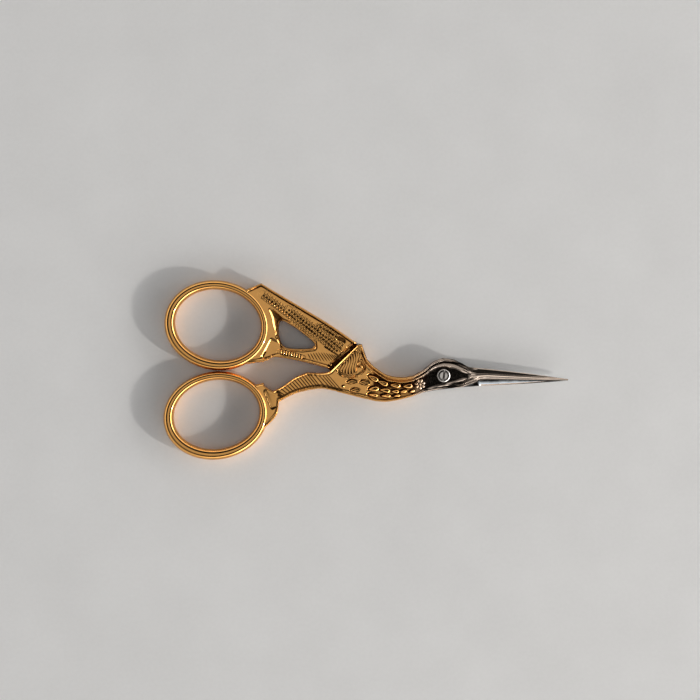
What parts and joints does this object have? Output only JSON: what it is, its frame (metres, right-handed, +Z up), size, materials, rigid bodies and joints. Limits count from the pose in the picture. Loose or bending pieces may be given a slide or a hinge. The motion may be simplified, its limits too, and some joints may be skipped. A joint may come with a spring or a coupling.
{
  "type": "stork embroidery scissors",
  "caption": "Small embroidery scissors in the shape of a stork: two lapped gilt steel halves, long fine pointed blades, oval finger bows and a slotted pivot screw.",
  "frame": {"origin": "on the pivot axis, in the plane that the closed scissors lie on, at the filed tail of the pivot screw", "axes": "+X along the scissors to the tip of the beak, +Y to the wing side, +Z up through the front face"},
  "size_m": [0.0923, 0.041, 0.0033],
  "materials": {
    "gilt_steel": "polished gold plate over steel on bows, wing, leg and neck, bright nickel on head and blades",
    "screw_steel": "bright nickel-plated steel, domed and slotted"
  },
  "bodies": {
    "rear": {"rear_half": "gilt_steel", "pivot_screw": "screw_steel"},
    "front": {"front_half": "gilt_steel"}
  },
  "joints": [
    {"name": "pivot", "type": "hinge", "parent": "rear", "child": "front", "pos_m": [0, 0, 0.0016], "axis": [0, 0, 1], "range_deg": [0, 60]}
  ]
}
